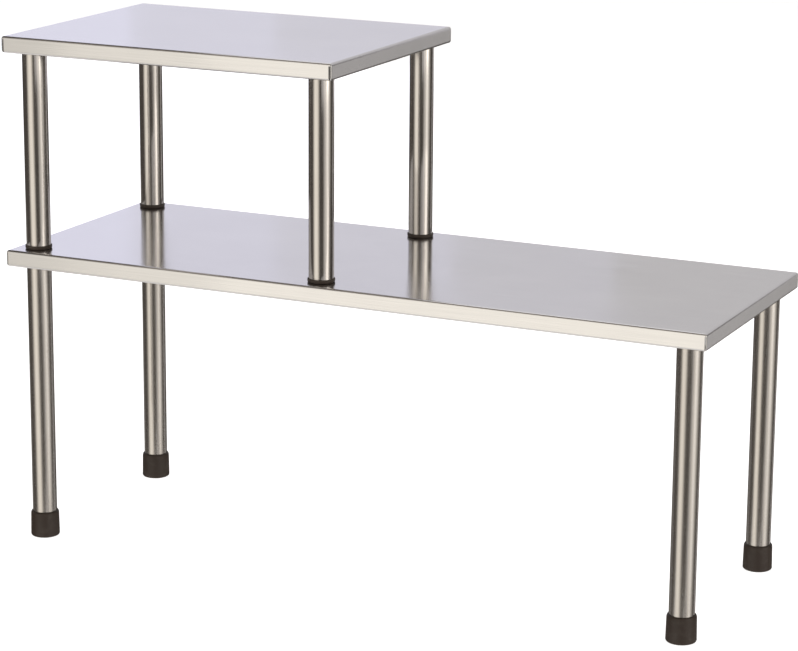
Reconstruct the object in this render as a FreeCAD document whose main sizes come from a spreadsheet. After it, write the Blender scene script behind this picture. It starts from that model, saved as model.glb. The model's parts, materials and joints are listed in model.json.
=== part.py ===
import FreeCAD, Part
import os
import Sketcher

# A two-level shelf stand of folded stainless sheet on round tubes.
# +X is to the right, +Y to the back and +Z up.
# The origin is on the floor under the middle of the lower shelf.

doc = FreeCAD.newDocument("tiered_shelf_riser")

driving_dimensions = {
    "lower_length": 600,
    "upper_length": 295,
    "shelf_depth": 220,
    "lower_top": 245,
    "upper_top": 420,
    "edge_height": 13.5,
    "sheet_gauge": 0.8,
    "bend_radius": 2.2,
    "lip_depth": 7,
    "lower_seam_gap": 0.4,
    "upper_seam_gap": 1,
    "tube_inset": 19,
    "post_end_inset": 18,
    "tube_diameter": 20,
    "tube_wall": 1,
    "cap_diameter": 23.8,
    "cap_length": 21.5,
    "cap_floor": 4,
    "cap_rounding": 1.2,
    "ring_diameter": 21.7,
    "ring_length": 3,
    "ring_floor": 1.5,
    "ring_rounding": 0.4,
    "ring_foot_rounding": 1.2,
    "plate_side": 30,
    "plate_gauge": 1.5,
    "plate_corner": 4,
    "channel_width": 32,
    "channel_drop": 9,
    "channel_gauge": 1.2,
    "channel_end_gap": 2,
    "plug_length": 16,
    "stud_diameter": 6,
    "stud_clearance": 6.6,
    "nut_flats": 10,
    "nut_thickness": 5,
    "washer_diameter": 14,
    "washer_thickness": 1.2,
    "head_diameter": 11,
    "head_height": 4,
    "socket_flats": 4,
    "socket_depth": 2.5,
    "fit_clearance": 0.05,
}

sheet = doc.addObject("Spreadsheet::Sheet", "dims")
for row, (alias, value) in enumerate(driving_dimensions.items(), start=1):
    sheet.set(f"A{row}", alias)
    sheet.set(f"B{row}", str(value))
    sheet.setAlias(f"B{row}", alias)
doc.recompute()

# Places worked out from the driving dimensions, as expressions that the document keeps.
left_axis = "(dims.tube_inset - dims.lower_length / 2)"
right_leg_axis = "(dims.lower_length / 2 - dims.tube_inset)"
right_post_axis = "(dims.upper_length - dims.post_end_inset - dims.lower_length / 2)"
front_axis = "(dims.tube_inset - dims.shelf_depth / 2)"
back_axis = "(dims.shelf_depth / 2 - dims.tube_inset)"
upper_middle = "((dims.upper_length - dims.lower_length) / 2)"

lower_underside = "(dims.lower_top - dims.sheet_gauge)"
upper_underside = "(dims.upper_top - dims.sheet_gauge)"
leg_seat = "(dims.lower_top - dims.sheet_gauge - dims.plate_gauge)"
post_head = "(dims.upper_top - dims.sheet_gauge - dims.plate_gauge)"
post_seat = "(dims.lower_top + dims.ring_floor)"
leg_plug_base = "(dims.lower_top - dims.sheet_gauge - dims.plate_gauge - dims.plug_length)"
post_top_plug_base = "(dims.upper_top - dims.sheet_gauge - dims.plate_gauge - dims.plug_length)"
bottom_plug_end = "(dims.lower_top + dims.ring_floor + dims.plug_length)"
tube_bore = "(dims.tube_diameter - 2 * dims.tube_wall)"

leg_corners = {
    "front_left": (left_axis, front_axis),
    "back_left": (left_axis, back_axis),
    "front_right": (right_leg_axis, front_axis),
    "back_right": (right_leg_axis, back_axis),
}
post_corners = {
    "front_left": (left_axis, front_axis),
    "back_left": (left_axis, back_axis),
    "front_right": (right_post_axis, front_axis),
    "back_right": (right_post_axis, back_axis),
}

# Lengths closer than this count as the same.
tolerance = 1e-6
pieces = []


def number(expression):
    return float(sheet.evalExpression(expression))


def place(item, x, y, z):
    item.setExpression("Placement.Base.x", x)
    item.setExpression("Placement.Base.y", y)
    item.setExpression("Placement.Base.z", z)


def keep(item, name):
    item.Label = name
    pieces.append(item)


def bind(sketch, name, kind, *where, size):
    index = sketch.addConstraint(Sketcher.Constraint(kind, *where, number(size)))
    sketch.renameConstraint(index, name)
    sketch.setExpression("Constraints." + name, size)


def new_sketch(body, name, height):
    sketch = body.newObject("Sketcher::SketchObject", f"{body.Name}_{name}")
    floor_plane = next(item for item in body.Origin.OriginFeatures if item.Role == "XY_Plane")
    sketch.AttachmentSupport = [(floor_plane, "")]
    sketch.MapMode = "FlatFace"
    sketch.setExpression("AttachmentOffset.Base.z", height)
    return sketch


# Each rectangle is its left edge, front edge, width and depth.
def rectangle_sketch(body, name, rectangles, height="0"):
    sketch = new_sketch(body, name, height)
    for order, (left, front, width, depth) in enumerate(rectangles):
        x, y = number(left), number(front)
        right, back = x + number(width), y + number(depth)
        corners = [FreeCAD.Vector(x, y, 0), FreeCAD.Vector(right, y, 0),
                   FreeCAD.Vector(right, back, 0), FreeCAD.Vector(x, back, 0)]
        first = 4 * order
        for side in range(4):
            sketch.addGeometry(Part.LineSegment(corners[side], corners[(side + 1) % 4]))
        for side in range(4):
            following = first + (side + 1) % 4
            sketch.addConstraint(Sketcher.Constraint("Coincident", first + side, 2, following, 1))
            direction = "Vertical" if side % 2 else "Horizontal"
            sketch.addConstraint(Sketcher.Constraint(direction, first + side))
        bind(sketch, f"left_{order}", "DistanceX", -1, 1, first, 1, size=left)
        bind(sketch, f"front_{order}", "DistanceY", -1, 1, first, 1, size=front)
        bind(sketch, f"width_{order}", "DistanceX", first, 1, first, 2, size=width)
        bind(sketch, f"depth_{order}", "DistanceY", first + 1, 1, first + 1, 2, size=depth)
    return sketch


# Circles about the body's own axis.
def round_sketch(body, name, diameters, height="0"):
    sketch = new_sketch(body, name, height)
    for order, diameter in enumerate(diameters):
        circle = Part.Circle(FreeCAD.Vector(0, 0, 0), FreeCAD.Vector(0, 0, 1), number(diameter) / 2)
        sketch.addGeometry(circle)
        sketch.addConstraint(Sketcher.Constraint("Coincident", order, 3, -1, 1))
        bind(sketch, f"diameter_{order}", "Diameter", order, size=diameter)
    return sketch


# Equal holes at the given centres.
def hole_sketch(body, name, centres, diameter):
    sketch = new_sketch(body, name, "0")
    for order, (x, y) in enumerate(centres):
        centre = FreeCAD.Vector(number(x), number(y), 0)
        sketch.addGeometry(Part.Circle(centre, FreeCAD.Vector(0, 0, 1), number(diameter) / 2))
        bind(sketch, f"across_{order}", "DistanceX", -1, 1, order, 3, size=x)
        bind(sketch, f"along_{order}", "DistanceY", -1, 1, order, 3, size=y)
        bind(sketch, f"diameter_{order}", "Diameter", order, size=diameter)
    return sketch


def pad(body, sketch, length):
    feature = body.newObject("PartDesign::Pad", sketch.Name + "_pad")
    feature.Profile = sketch
    feature.setExpression("Length", length)
    doc.recompute()
    return feature


# Cuts upwards from the sketch, and stops the build if nothing was cut.
def pocket(body, sketch, depth):
    volume_before = body.Shape.Volume
    feature = body.newObject("PartDesign::Pocket", sketch.Name + "_pocket")
    feature.Profile = sketch
    feature.Reversed = True
    feature.setExpression("Length", depth)
    doc.recompute()
    if body.Shape.Volume >= volume_before:
        raise RuntimeError(feature.Name + " cut nothing")
    return feature


def round_edges(body, base, chosen, radius):
    names = [f"Edge{order}" for order, edge in enumerate(base.Shape.Edges, start=1) if chosen(edge)]
    feature = body.newObject("PartDesign::Fillet", base.Name + "_fillet")
    feature.Base = (base, names)
    feature.setExpression("Radius", radius)
    doc.recompute()
    return feature


def new_body(name, x, y, z):
    body = doc.addObject("PartDesign::Body", name)
    place(body, x, y, z)
    keep(body, name)
    return body


def is_level(edge):
    return edge.BoundBox.ZLength < tolerance


def is_level_at(edge, height):
    return is_level(edge) and abs(edge.BoundBox.ZMin - height) < tolerance


# A folded tray: the flat top, four edges bent down and a narrow lip bent inwards along their foot.
# The front and back edges stop a seam's width short of the end edges.
def make_panel(name, length, middle, top, seam_gap, hole_centres):
    body = new_body(name, middle, "0", f"{top} - dims.edge_height")
    half_length, half_depth = f"{length} / 2", "dims.shelf_depth / 2"

    def inset_rectangle(inset):
        return (f"{inset} - {half_length}", f"{inset} - {half_depth}",
                f"{length} - 2 * {inset}", f"dims.shelf_depth - 2 * {inset}")

    outline = pad(body, rectangle_sketch(body, "outline", [inset_rectangle("0")]), "dims.edge_height")
    round_edges(body, outline, is_level, "dims.bend_radius")

    mouth = rectangle_sketch(body, "mouth", [inset_rectangle("dims.lip_depth")])
    pocket(body, mouth, "dims.edge_height / 2")
    hollow = rectangle_sketch(body, "hollow", [inset_rectangle("dims.sheet_gauge")], "dims.sheet_gauge")
    inside = pocket(body, hollow, "dims.edge_height - 2 * dims.sheet_gauge")
    wall_x = number(f"{half_length} - dims.sheet_gauge")
    wall_y = number(f"{half_depth} - dims.sheet_gauge")

    def is_inside_bend(edge):
        box = edge.BoundBox
        along_side = abs(abs(box.Center.x) - wall_x) < tolerance and box.XLength < tolerance
        along_front = abs(abs(box.Center.y) - wall_y) < tolerance and box.YLength < tolerance
        return is_level(edge) and (along_side or along_front)

    round_edges(body, inside, is_inside_bend, "dims.bend_radius - dims.sheet_gauge")

    seam_left = f"dims.sheet_gauge - {half_length}"
    seam_right = f"{half_length} - dims.sheet_gauge - {seam_gap}"
    seam_front = f"-{half_depth}"
    seam_back = f"{half_depth} - dims.lip_depth"
    seams = [(x, y, seam_gap, "dims.lip_depth")
             for x in (seam_left, seam_right) for y in (seam_front, seam_back)]
    pocket(body, rectangle_sketch(body, "seams", seams), "dims.edge_height - dims.bend_radius")

    if hole_centres:
        holes = hole_sketch(body, "holes", hole_centres, "dims.stud_clearance")
        pocket(body, holes, "dims.edge_height")


# A U-shaped channel with its flat web against the underside of the lower shelf.
def make_cross_channel():
    length = "(dims.shelf_depth - 2 * dims.lip_depth - 2 * dims.channel_end_gap)"
    body = new_body("cross_channel", right_post_axis, "0", f"{lower_underside} - dims.channel_drop")
    block = ("-dims.channel_width / 2", f"-{length} / 2", "dims.channel_width", length)
    pad(body, rectangle_sketch(body, "block", [block]), "dims.channel_drop")
    inner_width = "(dims.channel_width - 2 * dims.channel_gauge)"
    trough = (f"-{inner_width} / 2", f"-{length} / 2", inner_width, length)
    pocket(body, rectangle_sketch(body, "trough", [trough]), "dims.channel_drop - dims.channel_gauge")
    holes = hole_sketch(body, "holes", [("0", front_axis), ("0", back_axis)], "dims.stud_clearance")
    pocket(body, holes, "dims.channel_drop")


# A square backing plate with rounded corners and one hole for a stud.
def make_plate(name, x, y, underside):
    body = new_body(name, x, y, f"{underside} - dims.plate_gauge")
    square = ("-dims.plate_side / 2", "-dims.plate_side / 2", "dims.plate_side", "dims.plate_side")
    blank = pad(body, rectangle_sketch(body, "blank", [square]), "dims.plate_gauge")
    round_edges(body, blank, lambda edge: not is_level(edge), "dims.plate_corner")
    pocket(body, round_sketch(body, "hole", ["dims.stud_clearance"]), "dims.plate_gauge")


def make_tube(name, x, y, base, end):
    body = new_body(name, x, y, base)
    pad(body, round_sketch(body, "section", ["dims.tube_diameter", tube_bore]), f"{end} - {base}")


# A rubber cup that is pushed over the foot of a leg.
def make_foot_cap(name, x, y):
    body = new_body(name, x, y, "0")
    barrel = pad(body, round_sketch(body, "barrel", ["dims.cap_diameter"]), "dims.cap_length")
    round_edges(body, barrel, is_level, "dims.cap_rounding")
    bore = round_sketch(body, "bore", ["dims.tube_diameter + 2 * dims.fit_clearance"], "dims.cap_floor")
    pocket(body, bore, "dims.cap_length")


# A shallow cup under the foot of a post, narrower at its own foot, with a hole for the stud or screw.
def make_post_ring(name, x, y):
    body = new_body(name, x, y, "dims.lower_top")
    band = pad(body, round_sketch(body, "band", ["dims.ring_diameter"]), "dims.ring_length")
    top = number("dims.ring_length")
    rimmed = round_edges(body, band, lambda edge: is_level_at(edge, top), "dims.ring_rounding")
    round_edges(body, rimmed, lambda edge: is_level_at(edge, 0), "dims.ring_foot_rounding")
    seat = round_sketch(body, "seat", ["dims.tube_diameter + 2 * dims.fit_clearance"], "dims.ring_floor")
    pocket(body, seat, "dims.ring_length")
    pocket(body, round_sketch(body, "hole", ["dims.stud_clearance"]), "dims.ring_length")


def cylinder(name, diameter, length, x, y, z):
    item = doc.addObject("Part::Cylinder", name)
    item.setExpression("Radius", f"({diameter}) / 2")
    item.setExpression("Height", length)
    place(item, x, y, z)
    return item


def hexagon(name, flats, length, x, y, z):
    item = doc.addObject("Part::Prism", name)
    item.Polygon = 6
    item.setExpression("Circumradius", f"({flats}) / 2 / cos(30 deg)")
    item.setExpression("Height", length)
    place(item, x, y, z)
    return item


def cut(name, base, tool):
    item = doc.addObject("Part::Cut", name)
    item.Base = base
    item.Tool = tool
    return item


def fuse(name, parts):
    item = doc.addObject("Part::MultiFuse", name)
    item.Shapes = parts
    return item


def group(name, solids):
    item = doc.addObject("Part::Compound", name)
    item.Links = solids
    keep(item, name)


# A moulded plug that fills the end of a tube. Its nut sits in a pocket at the end inside the tube.
def make_plug(name, x, y, base, nut_base):
    plug_diameter = f"{tube_bore} - 2 * dims.fit_clearance"
    barrel = cylinder(name + "_barrel", plug_diameter, "dims.plug_length", x, y, base)
    bore = cylinder(name + "_bore", "dims.stud_clearance", "dims.plug_length", x, y, base)
    nut_room = "dims.nut_flats + 2 * dims.fit_clearance"
    room = hexagon(name + "_room", nut_room, "dims.nut_thickness", x, y, nut_base)
    keep(cut(name, barrel, fuse(name + "_hollow", [bore, room])), name)


def make_nut(name, x, y, base):
    blank = hexagon(name + "_blank", "dims.nut_flats", "dims.nut_thickness", x, y, base)
    hole_diameter = "dims.stud_diameter + 2 * dims.fit_clearance"
    hole = cylinder(name + "_hole", hole_diameter, "dims.nut_thickness", x, y, base)
    return cut(name, blank, hole)


def make_stud(name, x, y, base, end):
    return cylinder(name, "dims.stud_diameter", f"{end} - {base}", x, y, base)


def make_washer(name, x, y, base):
    disc = cylinder(name + "_disc", "dims.washer_diameter", "dims.washer_thickness", x, y, base)
    hole = cylinder(name + "_hole", "dims.stud_clearance", "dims.washer_thickness", x, y, base)
    return cut(name, disc, hole)


# A cap screw with its head down and a hexagon socket in the head.
def make_screw(name, x, y, head_seat, end):
    head_base = f"({head_seat} - dims.head_height)"
    head = cylinder(name + "_head", "dims.head_diameter", "dims.head_height", x, y, head_base)
    shank = cylinder(name + "_shank", "dims.stud_diameter", f"{end} - {head_seat}", x, y, head_seat)
    socket = hexagon(name + "_socket", "dims.socket_flats", "dims.socket_depth", x, y, head_base)
    return cut(name, fuse(name + "_blank", [head, shank]), socket)


left_corners = ("front_left", "back_left")
right_corners = ("front_right", "back_right")
bottom_nut_base = f"({bottom_plug_end} - dims.nut_thickness)"
washer_base = f"({lower_underside} - dims.channel_gauge - dims.washer_thickness)"

through_holes = list(post_corners.values())
make_panel("lower_shelf_panel", "dims.lower_length", "0", "dims.lower_top",
           "dims.lower_seam_gap", through_holes)
make_panel("upper_shelf_panel", "dims.upper_length", upper_middle, "dims.upper_top",
           "dims.upper_seam_gap", [])
make_cross_channel()

for corner, (x, y) in leg_corners.items():
    make_plate("lower_corner_plate_" + corner, x, y, lower_underside)
    make_tube("leg_" + corner, x, y, "dims.cap_floor", leg_seat)
    make_foot_cap("foot_cap_" + corner, x, y)
    make_plug("leg_plug_" + corner, x, y, leg_plug_base, leg_plug_base)

for corner, (x, y) in post_corners.items():
    make_plate("upper_corner_plate_" + corner, x, y, upper_underside)
    make_tube("post_" + corner, x, y, post_seat, post_head)
    make_post_ring("post_ring_" + corner, x, y)
    make_plug("post_bottom_plug_" + corner, x, y, post_seat, bottom_nut_base)
    make_plug("post_top_plug_" + corner, x, y, post_top_plug_base, post_top_plug_base)

group("leg_nuts", [
    make_nut("leg_nut_" + corner, x, y, leg_plug_base)
    for corner, (x, y) in leg_corners.items()])
group("post_bottom_nuts", [
    make_nut("post_bottom_nut_" + corner, x, y, bottom_nut_base)
    for corner, (x, y) in post_corners.items()])
group("post_top_nuts", [
    make_nut("post_top_nut_" + corner, x, y, post_top_plug_base)
    for corner, (x, y) in post_corners.items()])

group("through_studs", [
    make_stud("through_stud_" + corner, *leg_corners[corner], leg_plug_base, bottom_plug_end)
    for corner in left_corners])
group("right_leg_studs", [
    make_stud("leg_stud_" + corner, *leg_corners[corner], leg_plug_base, lower_underside)
    for corner in right_corners])
group("upper_shelf_studs", [
    make_stud("upper_stud_" + corner, x, y, post_top_plug_base, upper_underside)
    for corner, (x, y) in post_corners.items()])
group("post_screw_washers", [
    make_washer("washer_" + corner, *post_corners[corner], washer_base)
    for corner in right_corners])
group("post_screws", [
    make_screw("post_screw_" + corner, *post_corners[corner], washer_base, bottom_plug_end)
    for corner in right_corners])

doc.recompute()

for item in doc.Objects:
    if "Invalid" in item.State or "Error" in item.State:
        raise RuntimeError(f"{item.Name} failed: {item.State}")
for piece in pieces:
    if piece.Shape.isNull() or not piece.Shape.isValid():
        raise RuntimeError(f"{piece.Label} has no valid shape")

os.makedirs("parts", exist_ok=True)
for piece in pieces:
    piece.Shape.exportStep(f"parts/{piece.Label}.step")
print(len(pieces), "pieces written")
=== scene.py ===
import json
import math

import bpy
import numpy as np
from mathutils import Matrix, Vector


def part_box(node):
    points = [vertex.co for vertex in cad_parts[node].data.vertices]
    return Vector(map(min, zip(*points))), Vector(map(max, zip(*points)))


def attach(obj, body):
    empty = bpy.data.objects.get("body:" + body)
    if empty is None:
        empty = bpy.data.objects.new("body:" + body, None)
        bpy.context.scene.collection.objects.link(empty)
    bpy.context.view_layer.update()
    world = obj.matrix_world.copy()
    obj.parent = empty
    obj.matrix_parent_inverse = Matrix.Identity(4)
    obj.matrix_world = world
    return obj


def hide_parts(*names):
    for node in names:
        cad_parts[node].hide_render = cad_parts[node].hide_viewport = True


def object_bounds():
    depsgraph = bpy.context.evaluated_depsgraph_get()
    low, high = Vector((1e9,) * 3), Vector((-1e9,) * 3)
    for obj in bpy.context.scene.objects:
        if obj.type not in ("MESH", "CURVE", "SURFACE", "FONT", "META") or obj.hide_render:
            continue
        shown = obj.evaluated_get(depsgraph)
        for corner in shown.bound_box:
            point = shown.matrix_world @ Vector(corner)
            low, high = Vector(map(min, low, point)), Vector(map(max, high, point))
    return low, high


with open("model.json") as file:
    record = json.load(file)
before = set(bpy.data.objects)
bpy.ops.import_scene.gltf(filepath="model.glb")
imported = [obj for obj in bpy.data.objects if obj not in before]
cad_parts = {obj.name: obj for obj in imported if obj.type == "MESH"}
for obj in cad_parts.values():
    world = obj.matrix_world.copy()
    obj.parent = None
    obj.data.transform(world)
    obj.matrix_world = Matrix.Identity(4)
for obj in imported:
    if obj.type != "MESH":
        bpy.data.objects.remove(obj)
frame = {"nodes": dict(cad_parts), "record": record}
cadLow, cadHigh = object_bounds()
bpy.context.scene.view_settings.view_transform = "Standard"
corners = ("front_left", "back_left", "front_right", "back_right")


def circleAngles(count):
    return np.arange(count) * (2 * math.pi / count)


# Faces of a grid of points that closes round its columns, and round its rows too if asked.
def gridFaces(rows, columns, closeRows):
    upper = np.arange(rows if closeRows else rows - 1)[:, None]
    left = np.arange(columns)[None, :]
    nextRow, nextColumn = (upper + 1) % rows, (left + 1) % columns
    quads = np.stack([upper * columns + left, upper * columns + nextColumn,
                      nextRow * columns + nextColumn, nextRow * columns + left], axis=-1)
    return quads.reshape(-1, 4)


def makeMesh(name, points, faces, uv=None):
    mesh = bpy.data.meshes.new(name)
    mesh.from_pydata(points.tolist(), [], faces)
    mesh.polygons.foreach_set("use_smooth", np.ones(len(mesh.polygons), bool))
    if uv is not None:
        layer = mesh.uv_layers.new(name="surface")
        loopVertex = np.zeros(len(mesh.loops), np.int32)
        mesh.loops.foreach_get("vertex_index", loopVertex)
        layer.data.foreach_set("uv", uv[loopVertex].astype(np.float32).ravel())
    mesh.update()
    piece = bpy.data.objects.new(name, mesh)
    bpy.context.scene.collection.objects.link(piece)
    return piece


def finishPiece(piece, material, slot, *nodes):
    piece.data.materials.append(material)
    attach(piece, "root")
    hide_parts(*nodes)


# A rounded corner in a profile: points on the arc from angle start to angle end about a centre.
def arc(centreX, centreY, radius, start, end, steps=6):
    angle = np.radians(np.linspace(start, end, steps + 1))
    return np.column_stack([centreX + radius * np.cos(angle), centreY + radius * np.sin(angle)])


# A closed loop of (radius, height) points carried round an upright axis. The surface map is the distance
# round the outside by the height.
def revolveLoop(name, profile, centre, segments):
    angle = circleAngles(segments)
    radius, height = profile[:, 0][:, None], profile[:, 1][:, None]
    x = centre[0] + radius * np.cos(angle)
    y = centre[1] + radius * np.sin(angle)
    z = np.broadcast_to(height, x.shape)
    points = np.stack([x, y, z], axis=-1).reshape(-1, 3)
    around = np.broadcast_to(angle * profile[:, 0].max(), x.shape)
    uv = np.stack([around, z], axis=-1).reshape(-1, 2)
    faces = gridFaces(len(profile), segments, True)
    return makeMesh(name, points, faces.tolist(), uv)


# A (radius, height) line that starts and ends on the axis, carried round it and closed by a fan at each
# end.
def revolveClosed(name, profile, centre, segments):
    rings = profile[1:-1]
    angle = circleAngles(segments)
    x = centre[0] + rings[:, 0][:, None] * np.cos(angle)
    y = centre[1] + rings[:, 0][:, None] * np.sin(angle)
    z = np.broadcast_to(rings[:, 1][:, None], x.shape)
    points = np.stack([x, y, z], axis=-1).reshape(-1, 3)
    poles = np.array([[centre[0], centre[1], profile[0, 1]], [centre[0], centre[1], profile[-1, 1]]])
    quads = gridFaces(len(rings), segments, False)
    here, following = np.arange(segments), (np.arange(segments) + 1) % segments
    last = (len(rings) - 1) * segments
    startFan = np.column_stack([np.full(segments, len(points)), following, here])
    endFan = np.column_stack([np.full(segments, len(points) + 1), last + here, last + following])
    faces = quads.tolist() + startFan.tolist() + endFan.tolist()
    return makeMesh(name, np.vstack([points, poles]), faces)


def newMaterial(name):
    material = bpy.data.materials.new(name)
    material.use_nodes = True
    nodes, links = material.node_tree.nodes, material.node_tree.links
    return material, nodes, links, nodes["Principled BSDF"]


# More layers break a noise up more finely.
noiseLayers = {"grain": 4, "streak": 3, "cloud": 3, "wave": 1, "skin": 4, "scuff": 5, "mottle": 4, "fine": 3}


# Noise stretched along one direction, read from the given coordinates.
def stretchedNoise(nodes, links, source, stretch, layers, roughness=0.6):
    mapping = nodes.new("ShaderNodeMapping")
    mapping.inputs["Scale"].default_value = stretch
    noise = nodes.new("ShaderNodeTexNoise")
    noise.inputs["Scale"].default_value = 1.0
    noise.inputs["Detail"].default_value = layers
    noise.inputs["Roughness"].default_value = roughness
    links.new(source, mapping.inputs["Vector"])
    links.new(mapping.outputs["Vector"], noise.inputs["Vector"])
    return noise.outputs["Fac"]


def mapRange(nodes, links, source, low, high, fromLow=0.3, fromHigh=0.7):
    ranged = nodes.new("ShaderNodeMapRange")
    ranged.inputs["From Min"].default_value = fromLow
    ranged.inputs["From Max"].default_value = fromHigh
    ranged.inputs["To Min"].default_value = low
    ranged.inputs["To Max"].default_value = high
    links.new(source, ranged.inputs["Value"])
    return ranged.outputs["Result"]


# Each colour is three numbers, or the output of another node.
def mixColours(nodes, links, factor, first, second, blend="MIX"):
    mix = nodes.new("ShaderNodeMix")
    mix.data_type = "RGBA"
    mix.blend_type = blend
    for socket, colour in (("A", first), ("B", second)):
        if isinstance(colour, tuple):
            mix.inputs[socket].default_value = (*colour, 1)
        else:
            links.new(colour, mix.inputs[socket])
    if isinstance(factor, float):
        mix.inputs["Factor"].default_value = factor
    else:
        links.new(factor, mix.inputs["Factor"])
    return mix.outputs["Result"]


def addBump(nodes, links, source, shader, distance, under=None):
    bump = nodes.new("ShaderNodeBump")
    bump.inputs["Distance"].default_value = distance
    links.new(source, bump.inputs["Height"])
    if under is not None:
        links.new(under, bump.inputs["Normal"])
    links.new(bump.outputs["Normal"], shader.inputs["Normal"])
    return bump.outputs["Normal"]


edgeLook = {"samples": 6, "startCosine": 0.995, "fullCosine": 0.9}


# 1 near an edge and 0 away from it, from how far a rounded normal turns away from the true one.
def edgeMask(nodes, links, reach):
    rounded = nodes.new("ShaderNodeBevel")
    rounded.samples = edgeLook["samples"]
    rounded.inputs["Radius"].default_value = reach
    flat = nodes.new("ShaderNodeNewGeometry")
    turned = nodes.new("ShaderNodeVectorMath")
    turned.operation = "DOT_PRODUCT"
    links.new(rounded.outputs["Normal"], turned.inputs[0])
    links.new(flat.outputs["Normal"], turned.inputs[1])
    return mapRange(nodes, links, turned.outputs["Value"], 0, 1, edgeLook["startCosine"],
                    edgeLook["fullCosine"])


# Satin stainless: grain drawn out one way across the surface map, slow tone changes and a faint
# waviness. A quarter turn of the highlight spreads it across grain that runs along the first coordinate.
def makeSatinSteel(name, look):
    material, nodes, links, shader = newMaterial(name)
    shader.inputs["Metallic"].default_value = 1.0
    shader.inputs["Anisotropic"].default_value = look["anisotropy"]
    shader.inputs["Anisotropic Rotation"].default_value = look["turn"]
    surface = nodes.new("ShaderNodeUVMap")
    surface.uv_map = "surface"
    place = surface.outputs["UV"]
    tangent = nodes.new("ShaderNodeTangent")
    tangent.direction_type = "UV_MAP"
    tangent.uv_map = "surface"
    links.new(tangent.outputs["Tangent"], shader.inputs["Tangent"])
    grain = stretchedNoise(nodes, links, place, (*look["grain"], 1), noiseLayers["grain"])
    streak = stretchedNoise(nodes, links, place, (*look["streak"], 1), noiseLayers["streak"])
    cloud = stretchedNoise(nodes, links, place, (look["cloud"], look["cloud"], 1), noiseLayers["cloud"])
    colour = mixColours(nodes, links, mapRange(nodes, links, grain, 0, 1), look["dark"], look["light"])
    shade = mixColours(nodes, links, mapRange(nodes, links, cloud, 0, 1), look["cloudShade"], (1, 1, 1))
    band = mixColours(nodes, links, mapRange(nodes, links, streak, 0, 1), look["streakShade"], (1, 1, 1))
    shaded = mixColours(nodes, links, 1.0, colour, shade, "MULTIPLY")
    toned = mixColours(nodes, links, 1.0, shaded, band, "MULTIPLY")
    worn = edgeMask(nodes, links, look["edgeReach"])
    links.new(mixColours(nodes, links, worn, toned, look["rubbed"]), shader.inputs["Base Color"])
    low, high = look["roughness"]
    links.new(mapRange(nodes, links, grain, low, high), shader.inputs["Roughness"])
    wave = stretchedNoise(nodes, links, place, (look["wave"], look["wave"], 1), noiseLayers["wave"])
    waveNormal = addBump(nodes, links, wave, shader, look["waveHeight"])
    addBump(nodes, links, grain, shader, look["grainHeight"], under=waveNormal)
    return material


# Moulded rubber or plastic: fine matt skin, paler scuffs in patches and along the edges.
def makeMoulded(name, look):
    material, nodes, links, shader = newMaterial(name)
    place = nodes.new("ShaderNodeTexCoord").outputs["Object"]
    skin = stretchedNoise(nodes, links, place, (look["skin"],) * 3, noiseLayers["skin"])
    scuff = stretchedNoise(nodes, links, place, (look["scuff"],) * 3, noiseLayers["scuff"],
                           look["scuffBreak"])
    patchy = mapRange(nodes, links, scuff, 0, 1, *look["scuffRange"])
    colour = mixColours(nodes, links, patchy, look["base"], look["worn"])
    edge = edgeMask(nodes, links, look["edgeReach"])
    links.new(mixColours(nodes, links, edge, colour, look["edge"]), shader.inputs["Base Color"])
    low, high = look["roughness"]
    links.new(mapRange(nodes, links, skin, low, high), shader.inputs["Roughness"])
    addBump(nodes, links, skin, shader, look["skinHeight"])
    return material


# Zinc-plated steel: a mottled, slightly cloudy bright grey, rubbed darker along the edges.
def makePlated(name, look):
    material, nodes, links, shader = newMaterial(name)
    shader.inputs["Metallic"].default_value = 1.0
    place = nodes.new("ShaderNodeTexCoord").outputs["Object"]
    mottle = stretchedNoise(nodes, links, place, (look["mottle"],) * 3, noiseLayers["mottle"])
    fine = stretchedNoise(nodes, links, place, (look["fine"],) * 3, noiseLayers["fine"])
    colour = mixColours(nodes, links, mapRange(nodes, links, mottle, 0, 1), look["dark"], look["light"])
    edge = edgeMask(nodes, links, look["edgeReach"])
    links.new(mixColours(nodes, links, edge, colour, look["edge"]), shader.inputs["Base Color"])
    low, high = look["roughness"]
    links.new(mapRange(nodes, links, mottle, low, high), shader.inputs["Roughness"])
    addBump(nodes, links, fine, shader, look["fineHeight"])
    return material


sheetLook = {
    "dark": (0.69, 0.68, 0.68), "light": (0.76, 0.75, 0.75), "cloudShade": (0.96, 0.96, 0.965),
    "streakShade": (0.955, 0.955, 0.955), "rubbed": (0.80, 0.79, 0.78), "edgeReach": 0.0004,
    "grain": (14, 2600), "streak": (9, 900), "cloud": 14, "wave": 5, "waveHeight": 0.0003,
    "grainHeight": 0.0000012, "roughness": (0.12, 0.16), "anisotropy": 0.9, "turn": 0.25,
}
postLook = {
    "dark": (0.61, 0.58, 0.555), "light": (0.68, 0.65, 0.625), "cloudShade": (0.96, 0.955, 0.95),
    "streakShade": (0.95, 0.945, 0.94), "rubbed": (0.74, 0.72, 0.69), "edgeReach": 0.0003,
    "grain": (2200, 30), "streak": (420, 6), "cloud": 12, "wave": 9, "waveHeight": 0.00006,
    "grainHeight": 0.000001, "roughness": (0.14, 0.20), "anisotropy": 0.5, "turn": 0.0,
}
legChanges = {"roughness": (0.21, 0.28), "anisotropy": 0.35}
rubberLook = {
    "base": (0.027, 0.0155, 0.0095), "worn": (0.046, 0.033, 0.025), "edge": (0.060, 0.046, 0.037),
    "edgeReach": 0.0005, "skin": 1600, "scuff": 90, "scuffBreak": 0.7, "scuffRange": (0.5, 0.75),
    "roughness": (0.48, 0.62), "skinHeight": 0.00003,
}
ringChanges = {
    "base": (0.050, 0.035, 0.026), "worn": (0.080, 0.062, 0.050), "edge": (0.100, 0.081, 0.068),
}
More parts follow.
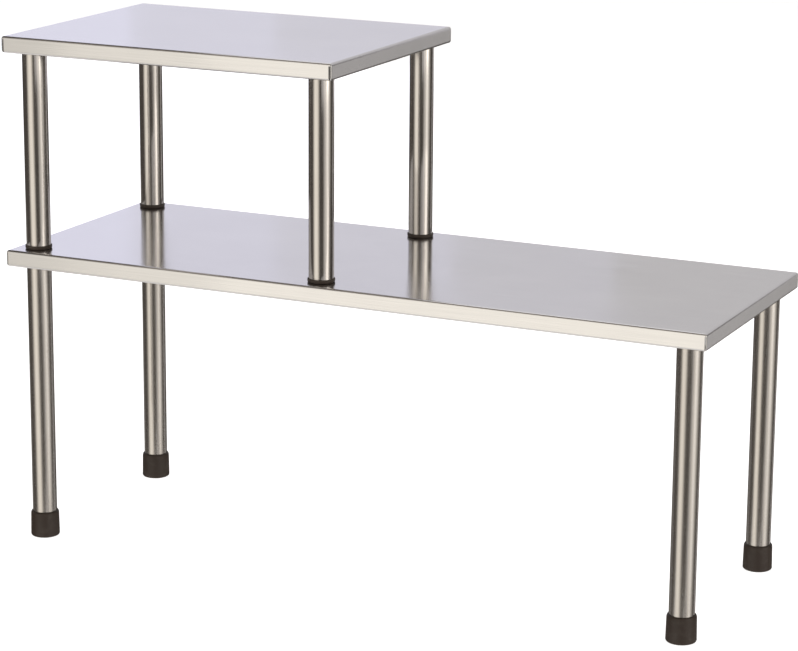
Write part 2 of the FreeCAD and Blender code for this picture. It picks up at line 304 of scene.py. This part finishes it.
plasticLook = {
    "base": (0.020, 0.020, 0.022), "worn": (0.040, 0.040, 0.042), "edge": (0.055, 0.055, 0.056),
    "edgeReach": 0.0004, "skin": 1200, "scuff": 120, "scuffBreak": 0.7, "scuffRange": (0.5, 0.75),
    "roughness": (0.38, 0.5), "skinHeight": 0.00002,
}
platedLook = {
    "dark": (0.50, 0.51, 0.54), "light": (0.66, 0.67, 0.69), "edge": (0.42, 0.41, 0.40),
    "edgeReach": 0.0003, "mottle": 160, "fine": 1500, "roughness": (0.28, 0.42), "fineHeight": 0.00002,
}
satinSheet = makeSatinSteel("satinSheet", sheetLook)
satinPost = makeSatinSteel("satinPost", postLook)
satinLeg = makeSatinSteel("satinLeg", postLook | legChanges)
capRubber = makeMoulded("capRubber", rubberLook)
ringRubber = makeMoulded("ringRubber", rubberLook | ringChanges)
blackPlastic = makeMoulded("blackPlastic", plasticLook)
platedSteel = makePlated("platedSteel", platedLook)
print("materials made")


lowerShape = {
    "gauge": 0.0008, "bend": 0.0022, "lip": 0.007, "corner": 0.0010, "innerCorner": 0.00015,
    "seamGap": 0.0004, "margin": 0.0012, "hold": 0.0002,
    "bendSteps": 8, "cornerSteps": 5, "alongSteps": 9, "acrossSteps": 7,
}
upperShape = lowerShape | {"corner": 0.0013, "seamGap": 0.0010}


# A rounded rectangle, as points and outward directions. Each straight side is split at the same
# fractions for every inset, so rings at different insets line up.
def perimeter(halfX, halfY, radius, fractionsX, fractionsY, steps):
    straightX, straightY = halfX - radius, halfY - radius
    turn = np.radians(np.linspace(0, 90, steps + 1))[1:-1]
    ends, depths = np.ones(len(fractionsY)), np.ones(len(fractionsX))
    sides = (
        (fractionsX * straightX, -halfY * depths, (0, -1), -90, (straightX, -straightY)),
        (halfX * ends, fractionsY * straightY, (1, 0), 0, (straightX, straightY)),
        (-fractionsX * straightX, halfY * depths, (0, 1), 90, (-straightX, straightY)),
        (-halfX * ends, -fractionsY * straightY, (-1, 0), 180, (-straightX, -straightY)),
    )
    points, outward = [], []
    for x, y, direction, startAngle, centre in sides:
        around = math.radians(startAngle) + turn
        bowed = np.column_stack([np.cos(around), np.sin(around)])
        points += [np.column_stack([x, y]), np.array(centre) + radius * bowed]
        outward += [np.tile(direction, (len(x), 1)), bowed]
    return np.vstack(points), np.vstack(outward)


# The folded tray: a line that runs off the flat top, over the bend, down the edge and in along the
# lip is carried round a rounded rectangle. The front and back edges stop short of the end edges, which
# leaves a seam. Extra rows and columns a hold's width from each bend and seam keep the flats flat.
def makeShelf(name, node, shape):
    low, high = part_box(node)
    centre = (low + high) / 2
    halfX, halfY = (high.x - low.x) / 2, (high.y - low.y) / 2
    bend, steps = shape["bend"], shape["bendSteps"]
    straight = halfX - shape["corner"]
    hold = shape["hold"]
    seamStart = straight - shape["seamGap"]
    seam = np.array([seamStart - hold, seamStart, straight]) / straight
    between = np.linspace(-seam[0], seam[0], shape["alongSteps"])[1:-1]
    fractionsX = np.concatenate([-seam[::-1], between, seam])
    acrossEnd = 1 - hold / halfY
    fractionsY = np.concatenate([[-1], np.linspace(-acrossEnd, acrossEnd, shape["acrossSteps"]), [1]])
    topBend = arc(bend, high.z - bend, bend, 90, 180, steps)
    footBend = arc(bend, low.z + bend, bend, 180, 270, steps)
    profile = np.vstack([
        [[bend + shape["margin"], high.z], [bend + hold, high.z]], topBend,
        [[0, high.z - bend - hold], [0, low.z + bend + hold]], footBend,
        [[bend + hold, low.z], [shape["lip"], low.z]],
    ])
    runs = np.concatenate([[0], np.cumsum(np.linalg.norm(np.diff(profile, axis=0), axis=1))])
    rings = []
    for inset, height in profile:
        radius = max(shape["corner"] - inset, shape["innerCorner"])
        ring, outward = perimeter(halfX - inset, halfY - inset, radius, fractionsX, fractionsY,
                                  shape["cornerSteps"])
        rings.append(np.column_stack([ring, np.full(len(ring), height)]))
    unfolded = rings[0][:, :2] + runs[:, None, None] * outward
    columns = len(rings[0])
    quads = gridFaces(len(profile), columns, False)
    row, column = np.arange(len(quads)) // columns, np.arange(len(quads)) % columns
    perSide = len(fractionsX)
    backStart = perSide + len(fractionsY) + 2 * (shape["cornerSteps"] - 1)
    seamColumns = [0, perSide - 2, backStart, backStart + perSide - 2]
    isOpen = (row > steps + 1) & np.isin(column, seamColumns)
    faces = quads[~isOpen][:, ::-1].tolist() + [list(range(columns))]
    points = np.array(rings).reshape(-1, 3) + np.array([centre.x, centre.y, 0])
    piece = makeMesh(name, points, faces, unfolded.reshape(-1, 2))
    wall = piece.modifiers.new("wall", "SOLIDIFY")
    wall.thickness = shape["gauge"]
    wall.offset = -1
    wall.use_even_offset = True
    wall.use_quality_normals = True
    finishPiece(piece, satinSheet, "satin_sheet", node)


makeShelf("lowerShelf", "lower_shelf_panel", lowerShape)
makeShelf("upperShelf", "upper_shelf_panel", upperShape)
print("shelves made")


def boxAxis(node):
    low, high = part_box(node)
    return low, high, ((low.x + high.x) / 2, (low.y + high.y) / 2)


tubeShape = {"wall": 0.001, "edge": 0.00025, "edgeSteps": 3, "segments": 128}


# A round tube: a rectangle of wall by length with its four corners eased, carried round the axis.
def makeTube(name, node, shape, material):
    low, high, axis = boxAxis(node)
    outer, edge, steps = (high.x - low.x) / 2, shape["edge"], shape["edgeSteps"]
    inner = outer - shape["wall"]
    profile = np.vstack([
        arc(outer - edge, low.z + edge, edge, -90, 0, steps),
        arc(outer - edge, high.z - edge, edge, 0, 90, steps),
        arc(inner + edge, high.z - edge, edge, 90, 180, steps),
        arc(inner + edge, low.z + edge, edge, 180, 270, steps),
    ])
    piece = revolveLoop(name, profile, axis, shape["segments"])
    finishPiece(piece, material, "satin_tube", node)


capShape = {
    "floor": 0.004, "shoulder": 0.0013, "shoulderStretch": 2.0, "taper": 0.0003, "foot": 0.0016,
    "bore": 0.01005, "mouthEase": 0.0002, "segments": 96,
    "treadRadius": 0.005, "treadSlope": 0.0005, "treadDepth": 0.0006,
}


# A push-on cup: a flat foot with a shallow round recess, sides that draw in slightly towards a shoulder
# taller than it is wide, and a blind bore for the tube.
def makeCap(name, node, shape):
    low, high, axis = boxAxis(node)
    outer, foot = (high.x - low.x) / 2, shape["foot"]
    bore, ease, tread = shape["bore"], shape["mouthEase"], shape["treadRadius"]
    shoulder = shape["shoulder"]
    stretch = shape["shoulderStretch"]
    bowed = arc(0, 0, shoulder, 0, 90) * (1, stretch)
    neck = np.array([outer - shape["taper"] - shoulder, high.z - shoulder * stretch])
    recess, floor = low.z + shape["treadDepth"], low.z + shape["floor"]
    profile = np.vstack([
        [[0, recess], [tread, recess], [tread + shape["treadSlope"], low.z]],
        arc(outer - foot, low.z + foot, foot, -90, 0),
        neck + bowed,
        [[bore + ease, high.z], [bore, high.z - ease], [bore, floor], [0, floor]],
    ])
    piece = revolveClosed(name, profile, axis, shape["segments"])
    finishPiece(piece, capRubber, "black_rubber", node)


ringShape = {
    "floor": 0.0015, "foot": 0.0012, "rounding": 0.0005, "bore": 0.01005, "mouthEase": 0.0001,
    "hole": 0.0033, "segments": 96,
}


# A shallow cup under a post: a band that narrows to its foot, a floor under the tube and a stud hole.
def makeRing(name, node, shape):
    low, high, axis = boxAxis(node)
    outer, rounding, foot = (high.x - low.x) / 2, shape["rounding"], shape["foot"]
    bore, hole = shape["bore"], shape["hole"]
    floorTop = low.z + shape["floor"]
    profile = np.vstack([
        [[hole, low.z]],
        arc(outer - foot, low.z + foot, foot, -90, 0),
        arc(outer - rounding, high.z - rounding, rounding, 0, 90),
        [[bore, high.z - shape["mouthEase"]], [bore, floorTop], [hole, floorTop]],
    ])
    piece = revolveLoop(name, profile, axis, shape["segments"])
    finishPiece(piece, ringRubber, "black_rubber", node)


for corner in corners:
    label = corner.title().replace("_", "")
    makeTube("leg" + label, "leg_" + corner, tubeShape, satinLeg)
    makeTube("post" + label, "post_" + corner, tubeShape, satinPost)
    makeCap("footCap" + label, "foot_cap_" + corner, capShape)
    makeRing("postRing" + label, "post_ring_" + corner, ringShape)
print("tubes, caps and rings made")


keptFinishes = {"black_plastic": blackPlastic, "plated_steel": platedSteel}
for part in frame["record"]["subparts"]:
    finish = keptFinishes.get(part["material_slot"])
    if finish is not None:
        kept = frame["nodes"][part["node"]]
        kept.data.materials.clear()
        kept.data.materials.append(finish)
print("inner pieces finished")


floorLook = {"half": 20, "colour": (0.9, 0.9, 0.9), "glow": 0.95, "roughness": 0.9}
backdropLook = {"radius": 19.5, "height": 14, "segments": 64, "glow": 1.0}


# A matt white that glows a little, so it stays white where the lights don't reach.
def paleMaterial(name, look, glow):
    material, _, _, shader = newMaterial(name)
    shader.inputs["Base Color"].default_value = (*look["colour"], 1)
    shader.inputs["Roughness"].default_value = look["roughness"]
    shader.inputs["Specular IOR Level"].default_value = 0.0
    shader.inputs["Emission Color"].default_value = (*look["colour"], 1)
    shader.inputs["Emission Strength"].default_value = glow
    return material


# The stage is left out of reflections and casts no shade.
def stagePiece(piece, material):
    piece.data.materials.append(material)
    piece.visible_glossy = False
    piece.visible_shadow = False


# A flat square under the feet, and a plain wall standing round it.
def makeStage(look, wallLook):
    half = look["half"]
    square = np.array([[-half, -half, 0], [half, -half, 0], [half, half, 0], [-half, half, 0]])
    floor = makeMesh("floor", square + [0, 0, cadLow.z], [[0, 1, 2, 3]])
    stagePiece(floor, paleMaterial("paleFloor", look, look["glow"]))
    angle = circleAngles(wallLook["segments"])
    radius = wallLook["radius"]
    level = np.full(len(angle), cadLow.z)
    foot = np.column_stack([radius * np.cos(angle), radius * np.sin(angle), level])
    points = np.vstack([foot, foot + [0, 0, wallLook["height"]]])
    wall = makeMesh("backdrop", points, gridFaces(2, len(angle), False).tolist())
    wall.visible_diffuse = False
    stagePiece(wall, paleMaterial("paleWall", look, wallLook["glow"]))


# Places and sizes are in metres. Brightness is what a box's face gives off.
lightLooks = {
    "rightHigh": {"place": (2.98, -0.45, 1.4), "aim": (0, -0.45, 1.4), "width": 1.3, "tall": 2.0,
                  "brightness": 1.3, "colour": (1.0, 0.96, 0.88)},
    "rightMid": {"place": (2.96, -0.65, -0.05), "aim": (0, -0.65, -0.05), "width": 0.8, "tall": 0.9,
                 "brightness": 0.2, "colour": (1.0, 0.96, 0.88)},
    "cornerHigh": {"place": (2.6, -2.6, 1.5), "aim": (0, 0, 0.4), "width": 2.6, "tall": 2.4,
                   "brightness": 0.5, "colour": (1.0, 0.98, 0.96)},
    "leftHigh": {"place": (-3.0, -0.2, 1.5), "aim": (0, -0.2, 0.6), "width": 3.0, "tall": 2.2,
                 "brightness": 0.5, "colour": (1.0, 0.98, 0.96)},
    "frontTop": {"place": (-0.4, -1.3, 2.6), "aim": (-0.3, -0.1, 0), "width": 3.0, "tall": 1.9,
                 "brightness": 0.22, "colour": (1.0, 0.88, 0.76)},
    "overhead": {"place": (0, 1.1, 2.6), "aim": (0, 0, 0), "width": 3.0, "tall": 2.0,
                 "brightness": 1.0, "colour": (1.0, 1.0, 1.0)},
    "under": {"place": (0, 0, -2.0), "aim": (0, 0, 0), "width": 5.0, "tall": 5.0,
              "brightness": 0.8, "colour": (1.0, 0.97, 0.93)},
}
stackLooks = {
    "front": {"outward": (0, -1, 0), "along": (1, 0, 0), "distance": 2.5, "height": 0.2, "tall": 4.4,
              "colour": (1.0, 0.955, 0.86),
              "steps": ((-2.9, 0.4, 0.28), (-2.5, 0.2, 0.25), (-2.1, 0.0, 0.25), (-1.8, -0.2, 0.2),
                        (-1.5, -0.4, 0.16))},
    "right": {"outward": (1, 0, 0), "along": (0, 1, 0), "distance": 3.0, "height": 0.2, "tall": 4.4,
              "colour": (1.0, 0.965, 0.90),
              "steps": ((-3.0, 1.35, 0.3), (-2.4, 0.8, 0.22), (-1.7, 0.4, 0.23), (-1.0, 0.25, 0.2),
                        (-0.7, -0.1, 0.2))},
    "back": {"outward": (0, 1, 0), "along": (1, 0, 0), "distance": 2.3, "height": 1.25, "tall": 2.3,
             "colour": (1.0, 0.985, 1.015), "steps": ((-3.1, 1.22, 0.55),)},
    "backTint": {"outward": (0, 1, 0), "along": (1, 0, 0), "distance": 2.2, "height": 0.9, "tall": 2.6,
                 "colour": (0.66, 0.68, 1.0),
                 "steps": ((-3.1, -0.65, 0.10), (-3.1, -0.95, 0.11), (-3.1, -1.3, 0.09),
                           (-3.1, -1.6, 0.13))},
    "backFoot": {"outward": (0, 1, 0), "along": (1, 0, 0), "distance": 2.3, "height": -0.95, "tall": 2.1,
                 "colour": (1.0, 0.98, 0.97), "steps": ((0.85, 1.65, 0.46),)},
    "leftFoot": {"outward": (-1, 0, 0), "along": (0, 1, 0), "distance": 3.0, "height": -1.25,
                 "tall": 1.5, "colour": (1.0, 0.98, 0.95), "steps": ((0.3, 2.5, 0.15),)},
}
stackGap = 0.02  # between the boxes of one stack, so no two lie in the same plane
worldColour = (0.085, 0.076, 0.068)
cameraLook = {"place": (0.9321, -1.9662, 0.7529), "turn": 24.48, "tilt": 13.32, "roll": 0.60,
              "lens": 125.5, "sensor": 36, "shiftX": -0.0514, "shiftY": -0.0695}


# A soft box that faces its aim point.
def makeLight(name, look):
    light = bpy.data.lights.new(name, "AREA")
    light.shape = "RECTANGLE"
    light.size, light.size_y = look["width"], look["tall"]
    light.color = look["colour"]
    light.energy = look["brightness"] * math.pi * look["width"] * look["tall"]
    box = bpy.data.objects.new(name, light)
    box.location = look["place"]
    towards = Vector(look["aim"]) - Vector(look["place"])
    box.rotation_euler = towards.to_track_quat("-Z", "Y").to_euler()
    box.visible_camera = False
    bpy.context.scene.collection.objects.link(box)


# Nested soft boxes on one side. Each step adds its brightness between its two ends, so the sum fades
# out in stairs.
def makeStack(name, look):
    outward, along = Vector(look["outward"]), Vector(look["along"])
    for index, (start, end, brightness) in enumerate(look["steps"]):
        middle = along * (start + end) / 2 + Vector((0, 0, look["height"]))
        box = {"place": middle + outward * (look["distance"] + stackGap * index), "aim": middle,
               "width": end - start, "tall": look["tall"], "brightness": brightness,
               "colour": look["colour"]}
        makeLight(name + str(index), box)


def makeCamera(look):
    data = bpy.data.cameras.new("studioCamera")
    data.lens = look["lens"]
    data.sensor_width = look["sensor"]
    data.shift_x, data.shift_y = look["shiftX"], look["shiftY"]
    camera = bpy.data.objects.new("studioCamera", data)
    facing = (Matrix.Rotation(math.radians(look["turn"]), 4, "Z")
              @ Matrix.Rotation(math.radians(90 - look["tilt"]), 4, "X")
              @ Matrix.Rotation(math.radians(look["roll"]), 4, "Z"))
    camera.matrix_world = Matrix.Translation(look["place"]) @ facing
    bpy.context.scene.collection.objects.link(camera)
    bpy.context.scene.camera = camera


makeStage(floorLook, backdropLook)
for name, look in lightLooks.items():
    makeLight(name, look)
for name, look in stackLooks.items():
    makeStack(name, look)
world = bpy.data.worlds.new("studio")
world.use_nodes = True
world.node_tree.nodes["Background"].inputs["Color"].default_value = (*worldColour, 1)
bpy.context.scene.world = world
makeCamera(cameraLook)
print("studio made")
